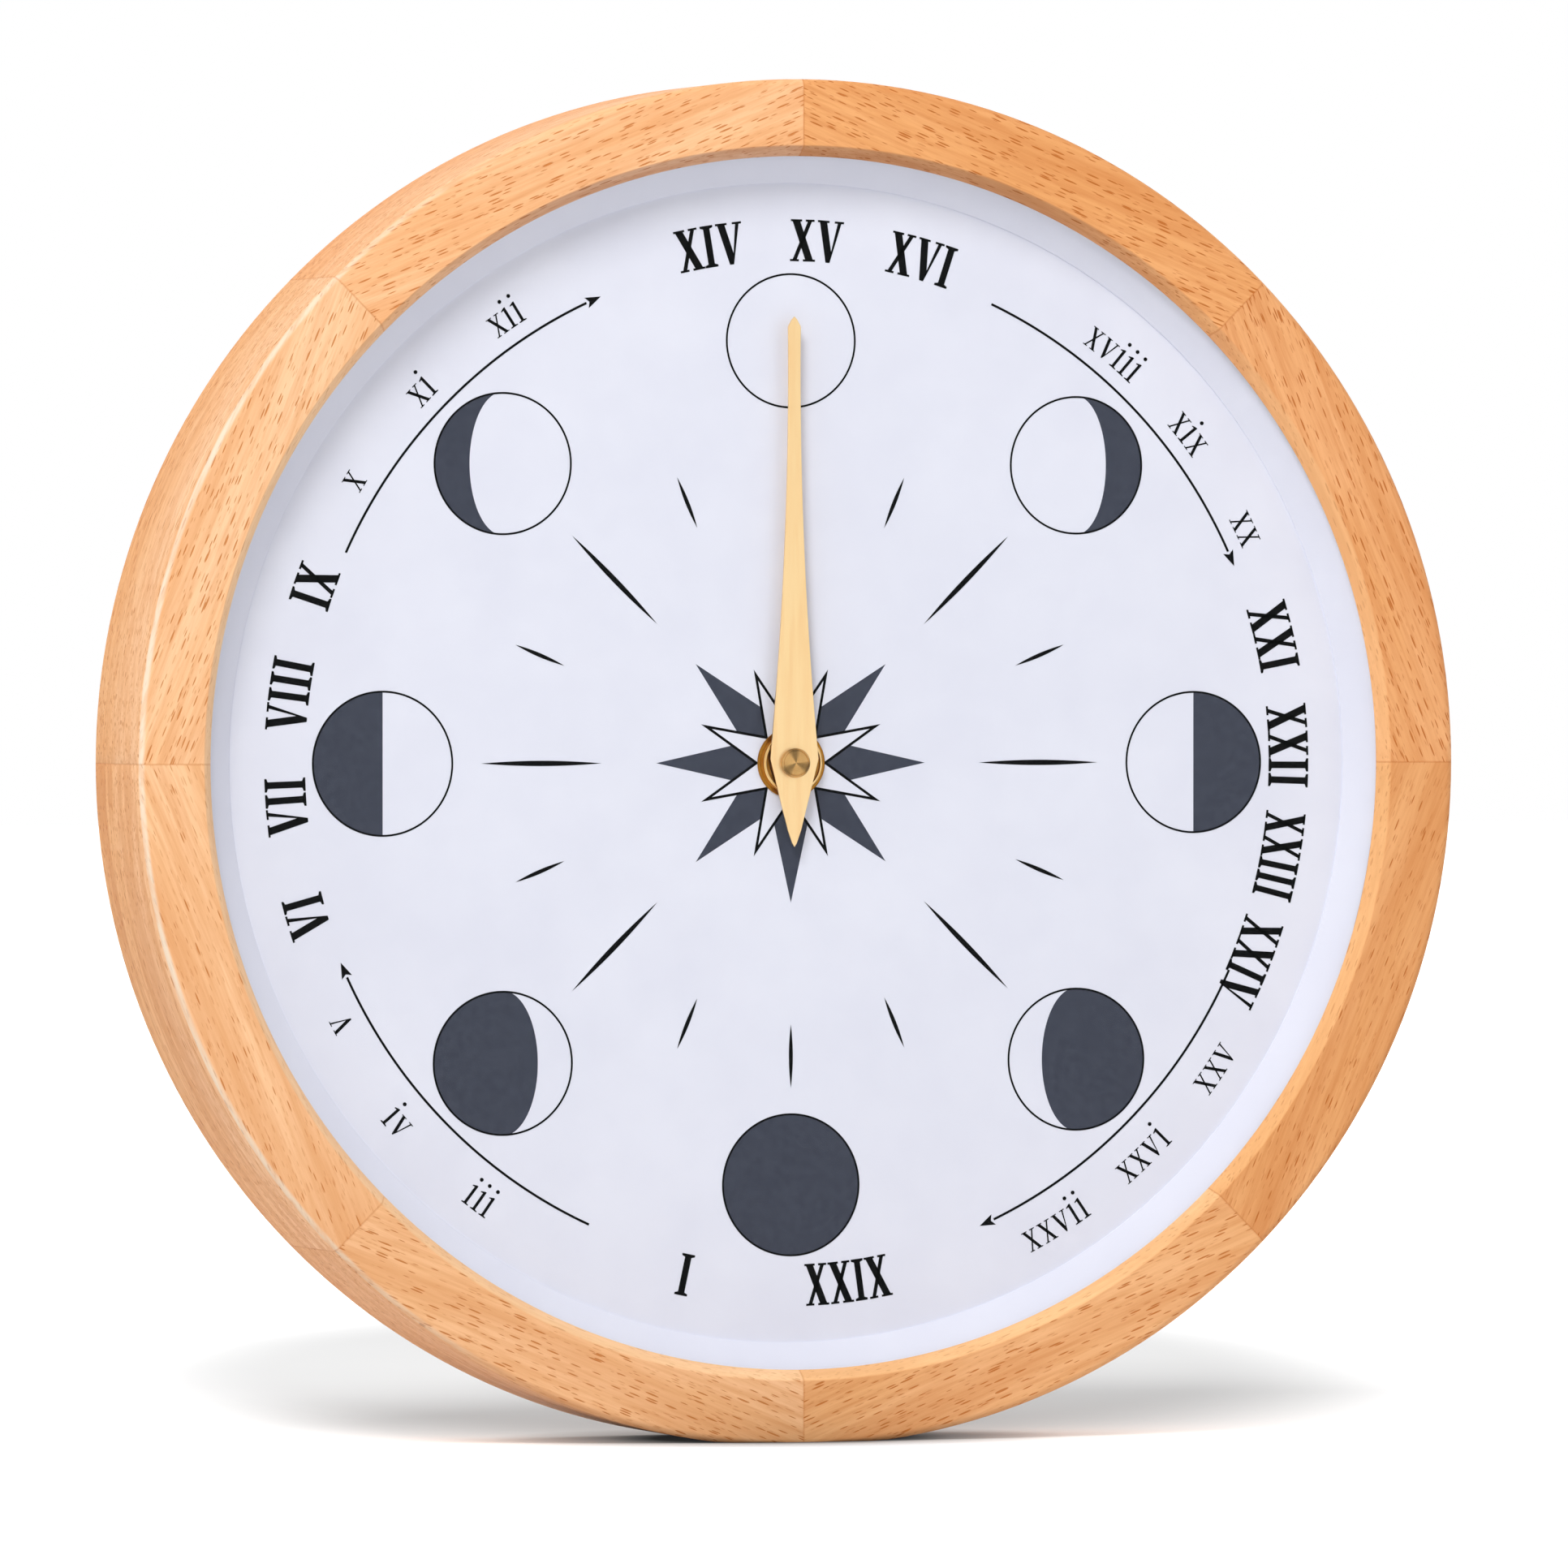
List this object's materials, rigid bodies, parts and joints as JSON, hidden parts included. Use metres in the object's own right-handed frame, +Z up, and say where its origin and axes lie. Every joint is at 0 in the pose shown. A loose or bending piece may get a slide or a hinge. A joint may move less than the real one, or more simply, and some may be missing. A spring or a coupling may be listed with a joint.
{
  "type": "moon phase desk clock",
  "caption": "Round moon phase clock in a mitred beech ring that stands on a small flat, with a glazed white dial, a long gold hand and a battery movement behind.",
  "frame": {"origin": "middle of the clock's footprint, on the flat that it rests on", "axes": "+Z up, the dial faces -Y, +X to the right as seen from the front"},
  "size_m": [0.205, 0.028, 0.2042],
  "materials": {
    "beech": "clear satin oil over fine flecked grain",
    "clear_glass": "clear, polished",
    "white_plastic": "matt white",
    "dial_card": "matt white print card",
    "hardboard": "smooth pressed board",
    "screw_steel": "zinc plated",
    "brass": "satin",
    "black_rubber": "matt",
    "gear_plastic": "moulded natural white",
    "magnet": "sintered, dark grey",
    "motor_iron": "bright strip",
    "bobbin_plastic": "moulded",
    "copper_wire": "enamelled copper winding",
    "circuit_laminate": "green laminate with a black chip",
    "battery_jacket": "plain printed jacket",
    "contact_spring": "nickel plated strip",
    "black_plastic": "fine moulded texture"
  },
  "bodies": {
    "clock": {"frame_segment_1": "beech", "frame_segment_2": "beech", "frame_segment_3": "beech", "frame_segment_4": "beech", "frame_segment_5": "beech", "frame_segment_6": "beech", "frame_segment_7": "beech", "frame_segment_8": "beech", "glass_lens": "clear_glass", "dial_flange_ring": "white_plastic", "dial_plate": "dial_card", "backing_board": "hardboard", "board_screws": "screw_steel", "brass_washer": "brass", "rubber_washer": "black_rubber", "threaded_bush": "brass", "bush_nut": "brass", "stator": "motor_iron", "coil_core": "motor_iron", "coil_bobbin": "bobbin_plastic", "coil_winding": "copper_wire", "circuit_board": "circuit_laminate", "quartz_crystal": "motor_iron", "battery_cell": "battery_jacket", "contact_negative": "contact_spring", "contact_positive": "contact_spring", "movement_case": "black_plastic", "movement_cover": "black_plastic"},
    "moon_hand_set": {"moon_wheel": "gear_plastic", "moon_hand": "brass", "cap_nut": "brass"},
    "second_wheel_set": {"second_wheel": "gear_plastic"},
    "third_wheel_set": {"third_wheel": "gear_plastic"},
    "rotor_set": {"rotor": "gear_plastic", "rotor_magnet": "magnet"},
    "setting_set": {"setting_wheel": "gear_plastic", "setting_knob": "black_plastic"}
  },
  "joints": [
    {"name": "moon_hand_turn", "type": "hinge", "parent": "clock", "child": "moon_hand_set", "pos_m": [0, 0, 0.10174], "axis": [0, 1, 0], "continuous": true},
    {"name": "second_wheel_turn", "type": "hinge", "parent": "clock", "child": "second_wheel_set", "pos_m": [-0.00693, 0, 0.10866], "axis": [0, 1, 0], "continuous": true},
    {"name": "third_wheel_turn", "type": "hinge", "parent": "clock", "child": "third_wheel_set", "pos_m": [0, 0, 0.11559], "axis": [0, 1, 0], "continuous": true},
    {"name": "rotor_turn", "type": "hinge", "parent": "clock", "child": "rotor_set", "pos_m": [0.0098, 0, 0.11559], "axis": [0, 1, 0], "continuous": true},
    {"name": "setting_turn", "type": "hinge", "parent": "clock", "child": "setting_set", "pos_m": [0.00987, 0, 0.09814], "axis": [0, 1, 0], "continuous": true}
  ],
  "couplings": [
    {"joint": "second_wheel_turn", "follows": "moon_hand_turn", "ratio": -6},
    {"joint": "third_wheel_turn", "follows": "moon_hand_turn", "ratio": 36},
    {"joint": "rotor_turn", "follows": "moon_hand_turn", "ratio": -216},
    {"joint": "setting_turn", "follows": "moon_hand_turn", "ratio": -4}
  ]
}
